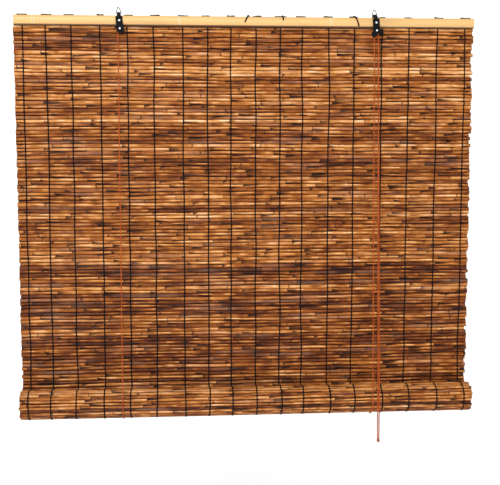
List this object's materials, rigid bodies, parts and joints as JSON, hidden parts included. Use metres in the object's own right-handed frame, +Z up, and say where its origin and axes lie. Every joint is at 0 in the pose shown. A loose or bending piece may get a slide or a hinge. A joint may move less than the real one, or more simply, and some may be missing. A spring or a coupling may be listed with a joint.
{
  "type": "reed roll up blind",
  "caption": "Roll-up window blind of horizontal reeds on black warp threads, with a split bamboo head rail, hanger rings, pulley, cord lock and lift cords.",
  "frame": {"origin": "midway between the two points where the hanger rings bear on their hooks", "axes": "+X along the head rail, to the right seen from the room; -Y to the room, +Y to the window; +Z up"},
  "size_m": [0.9, 0.0792, 0.8593],
  "materials": {
    "reed": "natural",
    "bamboo": "varnished",
    "thread": "twisted cotton",
    "steel_wire": "zinc",
    "black_steel": "satin",
    "pulley": "satin",
    "cord": "braided"
  },
  "bodies": {
    "rail_and_mat": {"front_rail": "bamboo", "rear_rail": "bamboo", "rail_pins": "steel_wire", "upper_reeds": "reed", "hanging_reeds": "reed", "warp_thread_01": "thread", "warp_thread_02": "thread", "warp_thread_03": "thread", "warp_thread_04": "thread", "warp_thread_05": "thread", "warp_thread_06": "thread", "warp_thread_07": "thread", "warp_thread_08": "thread", "warp_thread_09": "thread", "warp_thread_10": "thread", "warp_thread_11": "thread", "warp_thread_12": "thread", "warp_thread_13": "thread", "warp_thread_14": "thread", "warp_thread_15": "thread", "warp_thread_16": "thread", "warp_thread_17": "thread", "warp_thread_18": "thread", "left_strap": "black_steel", "right_strap": "black_steel", "left_strap_rivet": "black_steel", "right_strap_rivet": "black_steel", "left_axle_rivet": "black_steel", "right_axle_rivet": "black_steel", "left_front_run": "cord", "right_front_run": "cord", "left_rear_run": "cord", "right_rear_run": "cord", "left_cord_tie": "cord", "right_cord_tie": "cord", "cross_cord": "cord", "right_cord_over_lock": "cord", "pull_cord_a_exit": "cord", "pull_cord_b_exit": "cord"},
    "left_hanger_ring": {"left_ring": "steel_wire"},
    "right_hanger_ring": {"right_ring": "steel_wire"},
    "left_cage": {"left_pulley_cage": "black_steel"},
    "left_pulley": {"left_wheel": "pulley"},
    "lock": {"lock_housing": "black_steel", "lock_pawl_pin": "black_steel"},
    "lock_pulley": {"right_wheel": "pulley"},
    "pawl": {"lock_pawl": "black_steel"},
    "cord_cradle": {"left_bight": "cord", "right_bight": "cord"},
    "roll": {"rolled_mat": "reed"},
    "pull_cords": {"pull_cord_a": "cord", "pull_cord_b": "cord", "pull_cord_knot": "cord"}
  },
  "joints": [
    {"name": "left_ring_swing", "type": "hinge", "parent": "rail_and_mat", "child": "left_hanger_ring", "pos_m": [-0.25, 0, -0.01017], "axis": [0.9969, 0, 0.0785], "range_deg": [-75, 75]},
    {"name": "right_ring_swing", "type": "hinge", "parent": "rail_and_mat", "child": "right_hanger_ring", "pos_m": [0.2516, 0, -0.01017], "axis": [0.9969, 0, 0.0785], "range_deg": [-75, 75]},
    {"name": "left_cage_swing", "type": "hinge", "parent": "rail_and_mat", "child": "left_cage", "pos_m": [-0.24763, -0.008, -0.04034], "axis": [0, 1, 0], "range_deg": [-12, 12]},
    {"name": "lock_swing", "type": "hinge", "parent": "rail_and_mat", "child": "lock", "pos_m": [0.25397, -0.008, -0.04034], "axis": [0, 1, 0], "range_deg": [-8, 8]},
    {"name": "pawl_swing", "type": "hinge", "parent": "lock", "child": "pawl", "pos_m": [0.26329, -0.008, -0.04214], "axis": [0, -1, 0], "range_deg": [0, 8]},
    {"name": "left_pulley_turn", "type": "hinge", "parent": "rail_and_mat", "child": "left_pulley", "pos_m": [-0.24763, -0.008, -0.04034], "axis": [0, 1, 0], "continuous": true},
    {"name": "lock_pulley_turn", "type": "hinge", "parent": "rail_and_mat", "child": "lock_pulley", "pos_m": [0.25397, -0.008, -0.04034], "axis": [0, 1, 0], "continuous": true},
    {"name": "roll_lift", "type": "slide", "parent": "rail_and_mat", "child": "cord_cradle", "axis": [0, 0, 1], "range_m": [0, 0.65], "deforming": ["hanging_reeds", "warp_thread_01", "warp_thread_02", "warp_thread_03", "warp_thread_04", "warp_thread_05", "warp_thread_06", "warp_thread_07", "warp_thread_08", "warp_thread_09", "warp_thread_10", "warp_thread_11", "warp_thread_12", "warp_thread_13", "warp_thread_14", "warp_thread_15", "warp_thread_16", "warp_thread_17", "warp_thread_18", "left_front_run", "right_front_run", "left_rear_run", "right_rear_run"]},
    {"name": "roll_turn", "type": "hinge", "parent": "cord_cradle", "child": "roll", "pos_m": [0, -0.0262, -0.77356], "axis": [-1, 0, 0], "range_deg": [0, 1080]},
    {"name": "pull_cords_forward", "type": "slide", "parent": "rail_and_mat", "child": "pull_cords", "axis": [0, -1, 0], "range_m": [0, 0.047]}
  ],
  "couplings": [
    {"joint": "roll_turn", "follows": "roll_lift", "rad_per_m": 28.999},
    {"joint": "left_pulley_turn", "follows": "roll_lift", "rad_per_m": 481.93},
    {"joint": "lock_pulley_turn", "follows": "roll_lift", "rad_per_m": 481.93},
    {"joint": "pull_cords_forward", "follows": "roll_lift", "ratio": 0.072308}
  ]
}
